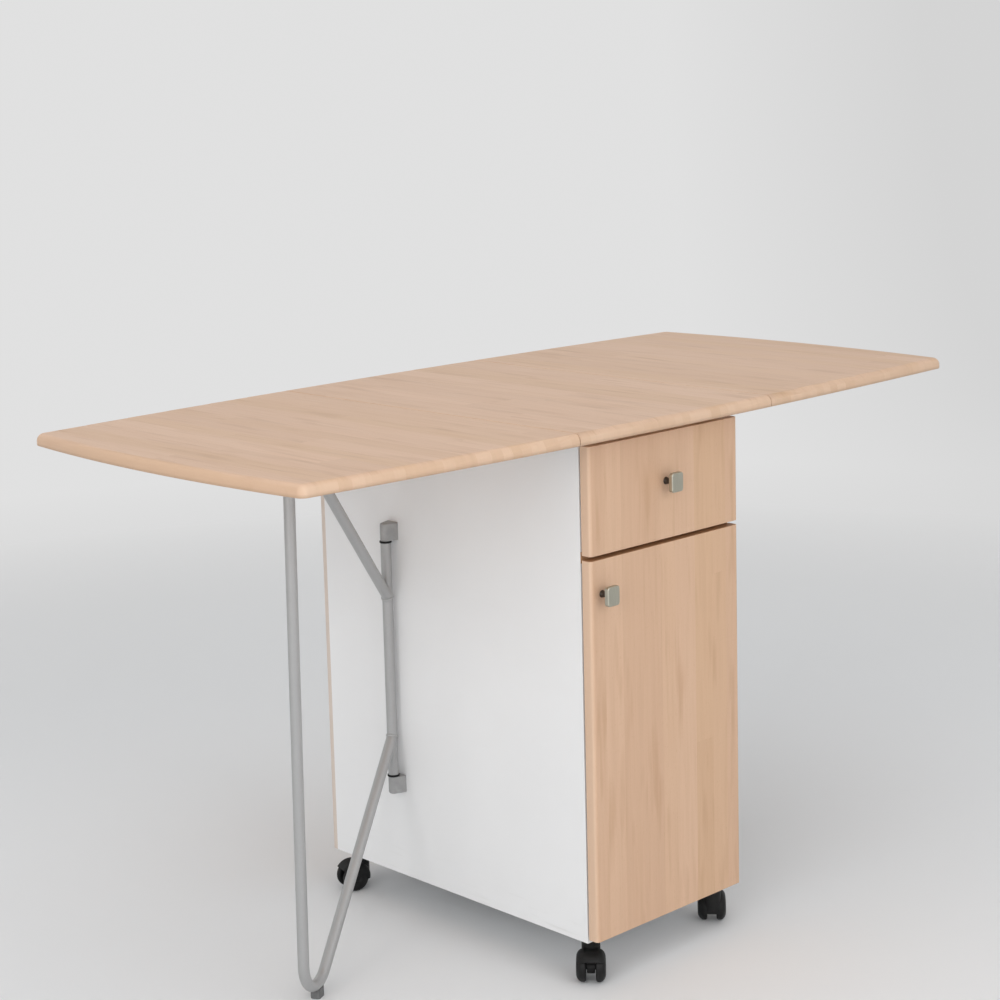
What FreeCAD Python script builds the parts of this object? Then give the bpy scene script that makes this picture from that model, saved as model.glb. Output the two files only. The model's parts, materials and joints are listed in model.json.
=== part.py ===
import FreeCAD, Part
import math
import os
from FreeCAD import Vector

# Kitchen table with a storage cabinet: a narrow cabinet on castors carries a three-part top.
# Each drop leaf is held up by a gate leg of bent tube that swings out from the side panel.
# Millimetres. +X runs along the top, the fronts face -Y, +Z is up, the origin is on the floor under the middle.

# Top
table_height = 750.0
top_length = 1270.0
top_width = 592.0
top_thickness = 16.0
end_bow = 18.0
side_bow = 22.5
top_corner_radius = 12.0
upper_edge_round = 10.0
lower_edge_round = 1.5
middle_width = 376.0
seam_gap = 1.2
seam_round = 2.0

# Cabinet, set back under the middle of the top
side_overhang = 42.0
end_overhang = 28.0
board_thickness = 16.0
back_thickness = 8.0
rail_depth = 70.0
shelf_rise = 240.0
shelf_setback = 18.0
shelf_side_gap = 0.5

# Drawer front and door
front_thickness = 16.0
front_round = 5.0
front_top_gap = 10.0
drawer_front_height = 143.0
fronts_gap = 6.0
door_lift = 5.5

# Knobs
knob_width = 22.0
knob_height = 26.0
knob_plate_thickness = 6.0
knob_stem_length = 15.0
knob_stem_radius = 3.5
knob_flare_radius = 5.0
knob_corner_radius = 4.0
knob_edge_round = 1.5
drawer_knob_lift = 6.0
door_knob_side_inset = 20.0
door_knob_top_inset = 45.0

# Shelf pins
pin_radius = 2.5
pin_clearance = 0.05
pin_hole_depth = 10.0
pin_tongue_length = 9.0
pin_tongue_width = 8.0
pin_tongue_thickness = 3.0
pin_edge_distance = 45.0
pin_pitch = 32.0

# Drawer box and its runners
drawer_box_height = 95.0
drawer_board_thickness = 12.0
drawer_bottom_thickness = 4.0
drawer_bottom_rebate = 1.5
drawer_bottom_rise = 10.0
drawer_groove_depth = 5.0
drawer_groove_clearance = 0.1
drawer_rear_gap = 58.0
drawer_floor_gap = 6.0
runner_space = 12.5
runner_wall = 1.2
channel_height = 26.0
channel_end_gap = 2.0
channel_lip_gap = 1.0
rail_clearance = 0.2
rail_web_gap = 1.0

# Door hinges
door_hinge_height = 50.0
door_hinge_inset = 70.0
door_leaf_thickness = 1.1
door_leaf_gap = 0.2
door_leaf_width = 14.0
door_barrel_radius = 3.0
door_barrel_gap = 0.4
door_pin_radius = 1.5

# Leaf hinges
leaf_hinge_length = 50.0
leaf_hinge_edge_inset = 62.0
leaf_plate_thickness = 1.6
leaf_plate_width = 28.0
leaf_barrel_radius = 3.2
leaf_barrel_gap = 0.5
leaf_pin_radius = 1.6

# All hinges
running_clearance = 0.05
knuckle_gap = 0.3
knuckle_clearance = 0.4
end_knuckle_share = 0.25

# Gate legs
tube_diameter = 15.0
leg_offset = 14.0
pivot_from_back = 156.0
foot_reach = 286.0
head_reach = 271.0
bend_radius = 39.0
lower_diagonal_angle = 42.7
upper_diagonal_angle = 44.5
leg_open_angle = 63.7
lower_tail = 59.0
upper_tail = 81.0
bracket_height = 25.0
bracket_base_width = 22.0
bracket_base_thickness = 3.0
bracket_round = 3.0
bracket_gap = 0.3
bracket_pin_radius = 5.5
bracket_pin_length = 14.0
bracket_pin_end_gap = 1.0

# Glide under each leg, rest pad on top of it, stop beside it
glide_thickness = 9.9
glide_length = 18.0
glide_width = 14.0
glide_wrap = 3.0
pad_thickness = 6.0
pad_length = 36.0
pad_width = 20.0
pad_wrap = 5.0
saddle_clearance = 0.05
saddle_round = 4.0
rest_gap = 0.1
stop_length = 34.0
stop_width = 12.0
stop_height = 11.0
stop_gap = 0.3
stop_round = 3.0

# Castors
castor_side_inset = 22.0
castor_end_inset = 34.0
castor_trail = 14.0
wheel_diameter = 40.0
wheel_width = 13.0
wheel_spacing = 13.0
wheel_side_gap = 1.0
wheel_inner_round = 3.0
wheel_shoulder_width = 6.5
wheel_shoulder_drop = 12.0
wheel_dish_depth = 1.5
wheel_rim = 2.0
axle_radius = 4.0
axle_end_inset = 0.5
axle_hub_radius = 9.0
hood_gap = 1.5
hood_wall = 2.5
hood_front_angle = 35.0
hood_rear_angle = 190.0
neck_height = 10.2
neck_radius = 12.5
swivel_gap = 0.3
swivel_pin_radius = 4.0
swivel_pin_length = 13.0
swivel_pin_end_gap = 0.3
castor_plate_radius = 14.0
castor_plate_thickness = 2.5
front_left_swivel = 222.0
front_right_swivel = 42.0
rear_left_swivel = 165.0
rear_right_swivel = 60.0

# One overrun serves every cut
cut_overrun = 5.0

# Levels and faces that several pieces share
cabinet_width = middle_width - 2 * side_overhang
cabinet_depth = top_width - 2 * end_overhang
underside = table_height - top_thickness
axle_height = wheel_diameter / 2
hood_radius = wheel_diameter / 2 + hood_gap + hood_wall
hood_top = axle_height + hood_radius + neck_height
cabinet_bottom = hood_top + swivel_gap + castor_plate_thickness
half_width = cabinet_width / 2
inner_half = half_width - board_thickness
front_face = -cabinet_depth / 2
front_back = front_face + front_thickness
front_standoff = 2 * door_leaf_thickness + door_leaf_gap
carcass_front = front_back + front_standoff
back_face = cabinet_depth / 2
carcass_back = back_face - back_thickness
floor_top = cabinet_bottom + board_thickness
shelf_bottom = floor_top + shelf_rise
drawer_front_bottom = underside - front_top_gap - drawer_front_height
door_top = drawer_front_bottom - fronts_gap
door_bottom = cabinet_bottom + door_lift
divider_top = drawer_front_bottom + (board_thickness - fronts_gap) / 2
drawer_bottom_edge = divider_top + drawer_floor_gap
drawer_back_face = carcass_back - drawer_rear_gap
drawer_half = inner_half - runner_space
runner_middle = drawer_bottom_edge + drawer_box_height / 2
hinge_line = middle_width / 2
leaf_hinge_places = (-top_width / 2 + leaf_hinge_edge_inset, top_width / 2 - leaf_hinge_edge_inset)
leaf_axis_height = underside - leaf_barrel_radius - leaf_barrel_gap
door_axis_x = half_width + door_barrel_gap + door_barrel_radius
door_axis_y = front_back + front_standoff / 2
tube_radius = tube_diameter / 2
pivot_x = half_width + leg_offset
pivot_y = back_face - pivot_from_back
up = Vector(0, 0, 1)
along_y = Vector(0, 1, 0)
origin = Vector(0, 0, 0)

os.makedirs("parts", exist_ok=True)


def save(node, shape):
    """Write one named piece."""
    shape.exportStep("parts/" + node + ".step")


def block(x0, x1, y0, y1, z0, z1):
    """A board or bar between two corners."""
    return Part.makeBox(x1 - x0, y1 - y0, z1 - z0, Vector(x0, y0, z0))


def mirrored(shape):
    """The same piece for the left side."""
    return shape.mirror(origin, Vector(1, 0, 0))


def edges_along(shape, direction, keep):
    """Straight edges of a shape that run along a direction and whose middle passes a test."""
    found = []
    for edge in shape.Edges:
        run = edge.Vertexes[-1].Point - edge.Vertexes[0].Point
        straight = edge.Curve.TypeId == "Part::GeomLine"
        if straight and run.cross(direction).Length < running_clearance and keep(edge.CenterOfMass):
            found.append(edge)
    return found


# Top


def top_outline():
    """Four shallow arcs: two long sides and two ends, meeting at the corners."""
    half_length = top_length / 2
    half_depth = top_width / 2
    corner_x = half_length - end_bow
    corner_y = half_depth - side_bow
    corners = [Vector(-corner_x, -corner_y, 0), Vector(corner_x, -corner_y, 0)]
    corners += [Vector(corner_x, corner_y, 0), Vector(-corner_x, corner_y, 0)]
    middles = [Vector(0, -half_depth, 0), Vector(half_length, 0, 0)]
    middles += [Vector(0, half_depth, 0), Vector(-half_length, 0, 0)]
    arcs = []
    for start, middle, end in zip(corners, middles, corners[1:] + corners[:1]):
        arcs.append(Part.Arc(start, middle, end).toShape())
    return Part.Wire(arcs)


def whole_top():
    """The top before it is parted, with rounded corners and rounded edges."""
    slab = Part.Face(top_outline()).extrude(Vector(0, 0, top_thickness))
    slab.translate(Vector(0, 0, underside))
    slab = slab.makeFillet(top_corner_radius, edges_along(slab, up, lambda point: True))
    upper = [edge for edge in slab.Edges if edge.BoundBox.ZMin > table_height - running_clearance]
    slab = slab.makeFillet(upper_edge_round, upper)
    lower = [edge for edge in slab.Edges if edge.BoundBox.ZMax < underside + running_clearance]
    return slab.makeFillet(lower_edge_round, lower)


def seam_cutter():
    """A slot along Y at the right hinge line, flared by a rounding at the top and the bottom."""
    half_gap = seam_gap / 2
    flare = half_gap + seam_round
    high = table_height + cut_overrun
    low = underside - cut_overrun
    quarter = seam_round * (1 - math.sqrt(0.5))

    def point(x, z):
        return Vector(hinge_line + x, -top_width, z)

    def side(sign):
        upper = Part.Arc(
            point(sign * half_gap, table_height - seam_round),
            point(sign * (half_gap + quarter), table_height - quarter),
            point(sign * flare, table_height),
        )
        lower = Part.Arc(
            point(sign * flare, underside),
            point(sign * (half_gap + quarter), underside + quarter),
            point(sign * half_gap, underside + seam_round),
        )
        return [
            Part.makeLine(point(sign * flare, low), point(sign * flare, underside)),
            lower.toShape(),
            Part.makeLine(
                point(sign * half_gap, underside + seam_round), point(sign * half_gap, table_height - seam_round)
            ),
            upper.toShape(),
            Part.makeLine(point(sign * flare, table_height), point(sign * flare, high)),
        ]

    ends = [Part.makeLine(point(-flare, low), point(flare, low))]
    ends += [Part.makeLine(point(-flare, high), point(flare, high))]
    outline = Part.Wire(Part.__sortEdges__(side(-1) + side(1) + ends))
    return Part.Face(outline).extrude(Vector(0, 2 * top_width, 0))


def make_top():
    """The fixed middle and the two leaves, parted at the seams."""
    slot = seam_cutter()
    pieces = whole_top().cut([slot, mirrored(slot)]).Solids
    left, middle, right = sorted(pieces, key=lambda solid: solid.CenterOfMass.x)
    save("left_leaf", left)
    save("middle_top", middle)
    save("right_leaf", right)


# Cabinet boards


def pin_heights():
    """The shelf's own pin holes, with one spare row above and one below."""
    level = shelf_bottom - pin_tongue_thickness / 2
    return (level - pin_pitch, level, level + pin_pitch)


def pin_places():
    """Front and rear rows of shelf pin holes."""
    return (carcass_front + shelf_setback + pin_edge_distance, carcass_back - pin_edge_distance)


def side_panel():
    """Right side panel with its shelf pin holes."""
    panel = block(inner_half, half_width, carcass_front, carcass_back, cabinet_bottom, underside)
    for y in pin_places():
        for z in pin_heights():
            start = Vector(inner_half - cut_overrun, y, z)
            depth = pin_hole_depth + cut_overrun
            panel = panel.cut(Part.makeCylinder(pin_radius + pin_clearance, depth, start, Vector(1, 0, 0)))
    return panel


def shelf_pin(y):
    """A pin with a flat tongue, in the right side panel."""
    level = shelf_bottom - pin_tongue_thickness / 2
    seat = inner_half + pin_hole_depth - pin_clearance
    stud = Part.makeCylinder(pin_radius, seat - inner_half, Vector(inner_half, y, level), Vector(1, 0, 0))
    tongue = block(
        inner_half - pin_tongue_length,
        inner_half,
        y - pin_tongue_width / 2,
        y + pin_tongue_width / 2,
        shelf_bottom - pin_tongue_thickness,
        shelf_bottom,
    )
    return stud.fuse(tongue)


def make_cabinet():
    """The carcass: sides, floor, divider, rails, back, shelf and its pins."""
    right = side_panel()
    save("right_side_panel", right)
    save("left_side_panel", mirrored(right))
    save("floor_panel", block(-inner_half, inner_half, carcass_front, carcass_back, cabinet_bottom, floor_top))
    divider_bottom = divider_top - board_thickness
    save("divider_panel", block(-inner_half, inner_half, carcass_front, carcass_back, divider_bottom, divider_top))
    rail_bottom = underside - board_thickness
    front_rail_end = carcass_front + rail_depth
    rear_rail_start = carcass_back - rail_depth
    save("front_top_rail", block(-inner_half, inner_half, carcass_front, front_rail_end, rail_bottom, underside))
    save("rear_top_rail", block(-inner_half, inner_half, rear_rail_start, carcass_back, rail_bottom, underside))
    save("back_panel", block(-half_width, half_width, carcass_back, back_face, cabinet_bottom, underside))
    shelf_half = inner_half - shelf_side_gap
    shelf_front = carcass_front + shelf_setback
    shelf_top = shelf_bottom + board_thickness
    save("shelf", block(-shelf_half, shelf_half, shelf_front, carcass_back, shelf_bottom, shelf_top))
    pins = [shelf_pin(y) for y in pin_places()]
    save("shelf_pins", Part.makeCompound(pins + [mirrored(pin) for pin in pins]))


# Fronts and knobs


def front_board(z0, z1):
    """A front with rounded upright edges on its outer face."""
    board = block(-half_width, half_width, front_face, front_back, z0, z1)
    outer = edges_along(board, up, lambda point: point.y < front_face + running_clearance)
    return board.makeFillet(front_round, outer)


def knob(x, z):
    """An upright plate with softened edges on a waisted round stem."""
    plate = block(-knob_width / 2, knob_width / 2, 0, knob_plate_thickness, -knob_height / 2, knob_height / 2)
    plate = plate.makeFillet(knob_corner_radius, edges_along(plate, along_y, lambda point: True))
    face_edges = [edge for edge in plate.Edges if edge.BoundBox.YMax < running_clearance]
    plate = plate.makeFillet(knob_edge_round, face_edges)
    plate.translate(Vector(x, front_face - knob_stem_length - knob_plate_thickness, z))
    waist = Part.Arc(
        Vector(knob_flare_radius, 0, 0),
        Vector(knob_stem_radius, 0, knob_stem_length / 2),
        Vector(knob_flare_radius, 0, knob_stem_length),
    )
    foot = Part.makeLine(origin, Vector(knob_flare_radius, 0, 0))
    head = Part.makeLine(Vector(knob_flare_radius, 0, knob_stem_length), Vector(0, 0, knob_stem_length))
    spine = Part.makeLine(Vector(0, 0, knob_stem_length), origin)
    stem = Part.Face(Part.Wire([foot, waist.toShape(), head, spine])).revolve(origin, up, 360)
    stem.rotate(origin, Vector(1, 0, 0), 90)
    stem.translate(Vector(x, front_face, z))
    return plate.fuse(stem)


# Drawer


def drawer_groove():
    """Lower and upper face of the groove that holds the drawer's bottom."""
    low = drawer_bottom_edge + drawer_bottom_rise
    return low - drawer_groove_clearance, low + drawer_bottom_thickness - drawer_bottom_rebate


def drawer_side():
    """Right drawer side with the groove that holds the bottom."""
    top_edge = drawer_bottom_edge + drawer_box_height
    inner = drawer_half - drawer_board_thickness
    side = block(inner, drawer_half, front_back, drawer_back_face, drawer_bottom_edge, top_edge)
    groove_low, groove_high = drawer_groove()
    groove = block(
        inner - cut_overrun,
        inner + drawer_groove_depth,
        front_back - cut_overrun,
        drawer_back_face + cut_overrun,
        groove_low,
        groove_high,
    )
    return side.cut(groove)


def drawer_back():
    """The drawer's back between its sides, grooved like them."""
    inner = drawer_half - drawer_board_thickness
    start = drawer_back_face - drawer_board_thickness
    top_edge = drawer_bottom_edge + drawer_box_height
    back = block(-inner, inner, start, drawer_back_face, drawer_bottom_edge, top_edge)
    groove_low, groove_high = drawer_groove()
    return back.cut(block(-inner, inner, start - cut_overrun, start + drawer_groove_depth, groove_low, groove_high))


def drawer_bottom():
    """The drawer's bottom: its edges are rebated to a tongue that slides into the grooves."""
    tongue = drawer_groove_depth - drawer_groove_clearance
    inner = drawer_half - drawer_board_thickness
    end = drawer_back_face - drawer_board_thickness
    low = drawer_bottom_edge + drawer_bottom_rise
    field_half = inner - drawer_groove_clearance
    field_end = end - drawer_groove_clearance
    field = block(-field_half, field_half, front_back, field_end, low, low + drawer_bottom_thickness)
    reach = inner + tongue
    return field.fuse(block(-reach, reach, front_back, end + tongue, low, drawer_groove()[1])).removeSplitter()


def drawer_channel():
    """Right cabinet channel: a C-profile, open towards the drawer."""
    outer = inner_half
    inner = drawer_half + channel_lip_gap
    low = runner_middle - channel_height / 2
    high = runner_middle + channel_height / 2
    start = carcass_front + channel_end_gap
    channel = block(inner, outer, start, drawer_back_face, low, high)
    hollow = block(
        inner - cut_overrun,
        outer - runner_wall,
        start - cut_overrun,
        drawer_back_face + cut_overrun,
        low + runner_wall,
        high - runner_wall,
    )
    return channel.cut(hollow)


def drawer_rail():
    """Right drawer rail: a U-profile that runs inside the channel."""
    outer = inner_half - runner_wall - rail_web_gap
    half = channel_height / 2 - runner_wall - rail_clearance
    low = runner_middle - half
    high = runner_middle + half
    start = carcass_front + channel_end_gap
    rail = block(drawer_half, outer, start, drawer_back_face, low, high)
    hollow = block(
        drawer_half + runner_wall,
        outer + cut_overrun,
        start - cut_overrun,
        drawer_back_face + cut_overrun,
        low + runner_wall,
        high - runner_wall,
    )
    return rail.cut(hollow)


def make_drawer():
    """Front, sides, back, bottom, runners and knob."""
    drawer_top = underside - front_top_gap
    save("drawer_front", front_board(drawer_front_bottom, drawer_top))
    save("drawer_knob", knob(0, (drawer_front_bottom + drawer_top) / 2 + drawer_knob_lift))
    side = drawer_side()
    save("drawer_right_side", side)
    save("drawer_left_side", mirrored(side))
    save("drawer_back", drawer_back())
    save("drawer_bottom", drawer_bottom())
    channel = drawer_channel()
    save("right_drawer_channel", channel)
    save("left_drawer_channel", mirrored(channel))
    rail = drawer_rail()
    save("drawer_right_rail", rail)
    save("drawer_left_rail", mirrored(rail))


# Hinges


def knuckle_spans(length):
    """Spans along a hinge: the two end knuckles of one half and the middle knuckle of the other."""
    half = length / 2
    end = length * end_knuckle_share
    ends = ((-half, -half + end), (half - end, half))
    middle = ((-half + end + knuckle_gap, half - end - knuckle_gap),)
    return ends, middle


def hinge_half(plate, tabs, barrels, pin):
    """A hinge half: plate, tabs and barrels in one piece, with its pin or the bore for it."""
    half = plate.fuse(tabs + barrels)
    return half.removeSplitter() if pin is None else half.fuse(pin).removeSplitter()


def leaf_hinge(y, spans, sign, own_pin):
    """Half of a right leaf hinge at a place along the seam; sign +1 reaches out under the leaf."""
    near = leaf_barrel_radius + knuckle_clearance
    low = underside - leaf_plate_thickness
    half = leaf_hinge_length / 2
    reach = (hinge_line + sign * near, hinge_line + sign * leaf_plate_width)
    plate = block(min(reach), max(reach), y - half, y + half, low, underside)
    tabs = []
    barrels = []
    for start, end in spans:
        sides = (hinge_line, hinge_line + sign * near)
        tabs.append(block(min(sides), max(sides), y + start, y + end, low, underside))
        foot = Vector(hinge_line, y + start, leaf_axis_height)
        barrels.append(Part.makeCylinder(leaf_barrel_radius, end - start, foot, along_y))
    foot = Vector(hinge_line, y - half, leaf_axis_height)
    pin = Part.makeCylinder(leaf_pin_radius, leaf_hinge_length, foot, along_y)
    bore = Part.makeCylinder(leaf_pin_radius + running_clearance, leaf_hinge_length, foot, along_y)
    whole = hinge_half(plate, tabs, barrels, pin if own_pin else None)
    return whole if own_pin else whole.cut(bore)


def make_leaf_hinges():
    """Two hinges under each seam: fixed plates with pins, and the plates that move with the leaf."""
    ends, middle = knuckle_spans(leaf_hinge_length)
    fixed = [leaf_hinge(y, ends, -1, True) for y in leaf_hinge_places]
    moving = [leaf_hinge(y, middle, 1, False) for y in leaf_hinge_places]
    save("right_leaf_hinge_fixed_plates", Part.makeCompound(fixed))
    save("left_leaf_hinge_fixed_plates", Part.makeCompound([mirrored(half) for half in fixed]))
    save("right_leaf_hinge_plates", Part.makeCompound(moving))
    save("left_leaf_hinge_plates", Part.makeCompound([mirrored(half) for half in moving]))


def door_hinge(z, spans, y0, y1, own_pin):
    """Half of a door hinge at a height, its plate between two faces in the gap behind the door."""
    half = door_hinge_height / 2
    plate = block(half_width - door_leaf_width, half_width, y0, y1, z - half, z + half)
    tabs = []
    barrels = []
    for start, end in spans:
        tabs.append(block(half_width, door_axis_x, y0, y1, z + start, z + end))
        foot = Vector(door_axis_x, door_axis_y, z + start)
        barrels.append(Part.makeCylinder(door_barrel_radius, end - start, foot))
    foot = Vector(door_axis_x, door_axis_y, z - half)
    pin = Part.makeCylinder(door_pin_radius, door_hinge_height, foot)
    bore = Part.makeCylinder(door_pin_radius + running_clearance, door_hinge_height, foot)
    whole = hinge_half(plate, tabs, barrels, pin if own_pin else None)
    return whole if own_pin else whole.cut(bore)


def make_door():
    """Door, knob and the two butt hinges at its right edge."""
    save("door_panel", front_board(door_bottom, door_top))
    save("door_knob", knob(-half_width + door_knob_side_inset, door_top - door_knob_top_inset))
    ends, middle = knuckle_spans(door_hinge_height)
    heights = (door_bottom + door_hinge_inset, door_top - door_hinge_inset)
    frame_side = carcass_front - door_leaf_thickness
    door_side = front_back + door_leaf_thickness
    frame = [door_hinge(z, ends, frame_side, carcass_front, True) for z in heights]
    door = [door_hinge(z, middle, front_back, door_side, False) for z in heights]
    save("door_hinge_frame_leaves", Part.makeCompound(frame))
    save("door_hinge_door_leaves", Part.makeCompound(door))


# Gate legs, drawn with the reach along +X from the pivot, then swung to their place


def swung(shape):
    """Turn a leg piece from its drawing direction to where a leg on the right, hung at the back, would stand."""
    turned = shape.copy()
    turned.rotate(origin, up, leg_open_angle - 90)
    turned.translate(Vector(pivot_x, pivot_y, 0))
    return turned


def foot_bend():
    """Centre of the bend over the foot."""
    return Vector(foot_reach, 0, glide_thickness + tube_radius + bend_radius)


def head_bend():
    """Centre of the bend under the leaf, a little nearer to the pivot, so the upright splays outwards."""
    return Vector(head_reach, 0, underside - rest_gap - pad_thickness - tube_radius - bend_radius)


def lower_touch():
    """Where the lower diagonal runs into the foot bend."""
    angle = math.radians(lower_diagonal_angle)
    return foot_bend() - Vector(math.sin(angle), 0, math.cos(angle)) * bend_radius


def upper_touch():
    """Where the head bend runs into the upper diagonal."""
    angle = math.radians(upper_diagonal_angle)
    return head_bend() - Vector(math.sin(angle), 0, -math.cos(angle)) * bend_radius


def lower_joint():
    """Height where the lower diagonal meets the pivot."""
    return lower_touch().z + lower_touch().x * math.tan(math.radians(lower_diagonal_angle))


def upper_joint():
    """Height where the upper diagonal meets the pivot."""
    return upper_touch().z - upper_touch().x * math.tan(math.radians(upper_diagonal_angle))


def bend(centre, start, end):
    """Arc of a tube bend round its centre, by the shorter way."""
    middle = (start - centre + end - centre).normalize() * bend_radius
    return Part.Arc(start, centre + middle, end).toShape()


def loop_path():
    """Centre line of the bent tube: diagonal, foot bend, splayed upright, head bend, diagonal."""
    rise = (head_bend() - foot_bend()).normalize()
    outwards = Vector(rise.z, 0, -rise.x) * bend_radius
    upright_low = foot_bend() + outwards
    upright_high = head_bend() + outwards
    return Part.Wire(
        [
            Part.makeLine(Vector(0, 0, lower_joint()), lower_touch()),
            bend(foot_bend(), lower_touch(), upright_low),
            Part.makeLine(upright_low, upright_high),
            bend(head_bend(), upright_high, upper_touch()),
            Part.makeLine(upper_touch(), Vector(0, 0, upper_joint())),
        ]
    )


def leg_frame():
    """The bent tube welded to its pivot tube, which is bored at both ends for the bracket pins."""
    path = loop_path()
    direction = path.Edges[0].tangentAt(path.Edges[0].FirstParameter)
    section = Part.Wire(Part.makeCircle(tube_radius, path.Edges[0].Vertexes[0].Point, direction))
    loop = path.makePipeShell([section], True, True)
    low = lower_joint() - lower_tail
    high = upper_joint() + upper_tail
    pivot = Part.makeCylinder(tube_radius, high - low, Vector(0, 0, low))
    frame = pivot.fuse(loop)
    bore_radius = bracket_pin_radius + running_clearance
    bore_depth = bracket_pin_length + bracket_pin_end_gap
    frame = frame.cut(Part.makeCylinder(bore_radius, bore_depth, Vector(0, 0, low)))
    return frame.cut(Part.makeCylinder(bore_radius, bore_depth, Vector(0, 0, high - bore_depth)))


def saddle(length, width, z0, z1, centre):
    """A moulded block with rounded upright edges, hollowed to sit on the tube's bend round a centre."""
    blank = block(centre.x - length / 2, centre.x + length / 2, -width / 2, width / 2, z0, z1)
    blank = blank.makeFillet(saddle_round, edges_along(blank, up, lambda point: True))
    return blank.cut(Part.makeTorus(bend_radius, tube_radius + saddle_clearance, centre, along_y))


def leg_glide():
    """The foot under the floor bend."""
    return saddle(glide_length, glide_width, 0, glide_thickness + glide_wrap, foot_bend())


def leg_rest_pad():
    """The pad on the upper bend that carries the leaf."""
    top = underside - rest_gap
    return saddle(pad_length, pad_width, top - pad_thickness - pad_wrap, top, head_bend())


def leg_stop():
    """The block under the leaf that the opened leg comes to rest against."""
    near = pad_width / 2 + stop_gap
    blank = block(
        head_reach - stop_length / 2,
        head_reach + stop_length / 2,
        near,
        near + stop_width,
        underside - stop_height,
        underside,
    )
    return blank.makeFillet(stop_round, edges_along(blank, up, lambda point: point.y > near + stop_width / 2))


def leg_bracket(level, upper):
    """A tapered lug on a right side panel whose pin enters the end of the pivot tube."""
    half = bracket_base_width / 2
    run = leg_offset - bracket_base_thickness
    turn = math.atan2(half, -run) - math.acos(tube_radius / math.hypot(run, half))
    touch = Vector(leg_offset + tube_radius * math.cos(turn), tube_radius * math.sin(turn), 0)
    shoulder = Vector(bracket_base_thickness, half, 0)
    heel = Vector(0, half, 0)

    def across(point):
        return Vector(point.x, -point.y, 0)

    outline = [
        Part.makeLine(across(heel), across(shoulder)),
        Part.makeLine(across(shoulder), across(touch)),
        Part.Arc(across(touch), Vector(leg_offset + tube_radius, 0, 0), touch).toShape(),
        Part.makeLine(touch, shoulder),
        Part.makeLine(shoulder, heel),
        Part.makeLine(heel, across(heel)),
    ]
    lug = Part.Face(Part.Wire(outline)).extrude(Vector(0, 0, bracket_height))
    nose = [edge for edge in lug.Edges if edge.BoundBox.ZMax < bracket_gap and edge.CenterOfMass.x > shoulder.x]
    lug = lug.makeFillet(bracket_round, nose)
    pin = Part.makeCylinder(bracket_pin_radius, bracket_pin_length, Vector(leg_offset, 0, bracket_height))
    lug = lug.fuse(pin)
    if upper:
        lug.rotate(Vector(leg_offset, 0, 0), Vector(1, 0, 0), 180)
        lug.translate(Vector(half_width, pivot_y, level + bracket_height))
    else:
        lug.translate(Vector(half_width, pivot_y, level - bracket_height))
    return lug


def make_legs():
    """The left gate leg, hung near the back, and the right one, which is the left one turned half round."""
    low = lower_joint() - lower_tail - bracket_gap
    high = upper_joint() + upper_tail + bracket_gap
    pieces = {
        "leg_frame": swung(leg_frame()),
        "leg_glide": swung(leg_glide()),
        "leg_rest_pad": swung(leg_rest_pad()),
        "leg_stop": swung(leg_stop()),
        "leg_lower_bracket": leg_bracket(low, False),
        "leg_upper_bracket": leg_bracket(high, True),
    }
    for name, shape in pieces.items():
        save("left_" + name, mirrored(shape))
        save("right_" + name, shape.mirror(origin, along_y))


# Castors, drawn with the wheels trailing along +X from the swivel axis, then turned


def wheel_shoulder(gap):
    """Profile of a wheel's domed shoulder, or of a line that stays a gap outside it."""
    outer = wheel_spacing / 2 + wheel_width
    radius = wheel_diameter / 2 + gap
    width = wheel_shoulder_width + gap
    drop = wheel_shoulder_drop
    quarter = 1 - math.sqrt(0.5)
    return [
        Vector(0, outer - width, radius),
        Vector(0, outer - width * quarter, radius - drop * quarter),
        Vector(0, outer, radius - drop),
    ]


def castor_wheel():
    """A wheel with a domed shoulder and a dished outer face, on the +Y side of the axle's middle."""
    inner = wheel_spacing / 2
    outer = inner + wheel_width
    radius = wheel_diameter / 2
    bore = axle_radius + running_clearance
    quarter = wheel_inner_round * (1 - math.sqrt(0.5))
    crown, dome, brow = wheel_shoulder(0)
    dish = brow.z - wheel_rim

    def point(y, r):
        return Vector(0, y, r)

    tread = [
        Part.makeLine(point(inner, bore), point(inner, radius - wheel_inner_round)),
        Part.Arc(
            point(inner, radius - wheel_inner_round),
            point(inner + quarter, radius - quarter),
            point(inner + wheel_inner_round, radius),
        ).toShape(),
        Part.makeLine(point(inner + wheel_inner_round, radius), crown),
        Part.Arc(crown, dome, brow).toShape(),
        Part.makeLine(brow, point(outer, dish)),
        Part.makeLine(point(outer, dish), point(outer - wheel_dish_depth, bore)),
        Part.makeLine(point(outer - wheel_dish_depth, bore), point(inner, bore)),
    ]
    wheel = Part.Face(Part.Wire(tread)).revolve(origin, along_y, 360)
    wheel.translate(Vector(castor_trail, 0, axle_height))
    return wheel


def barrel(gap, overrun, first_angle, last_angle):
    """A slice of a barrel round the axle that stays a gap outside both wheels' shoulders."""
    crown, dome, brow = wheel_shoulder(gap)
    end = brow.y + overrun

    def across(point):
        return Vector(0, -point.y, point.z)

    outline = [
        Part.makeLine(Vector(0, end, 0), Vector(0, end, brow.z)),
        Part.Arc(brow, dome, crown).toShape(),
        Part.makeLine(crown, across(crown)),
        Part.Arc(across(crown), across(dome), across(brow)).toShape(),
        Part.makeLine(Vector(0, -end, brow.z), Vector(0, -end, 0)),
        Part.makeLine(Vector(0, -end, 0), Vector(0, end, 0)),
    ]
    if overrun > 0:
        outline.append(Part.makeLine(Vector(0, end, brow.z), brow))
        outline.append(Part.makeLine(across(brow), Vector(0, -end, brow.z)))
    face = Part.Face(Part.Wire(Part.__sortEdges__(outline)))
    face.rotate(origin, along_y, 90 - first_angle)
    slice_ = face.revolve(origin, -along_y, last_angle - first_angle)
    slice_.translate(Vector(castor_trail, 0, axle_height))
    return slice_


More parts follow.
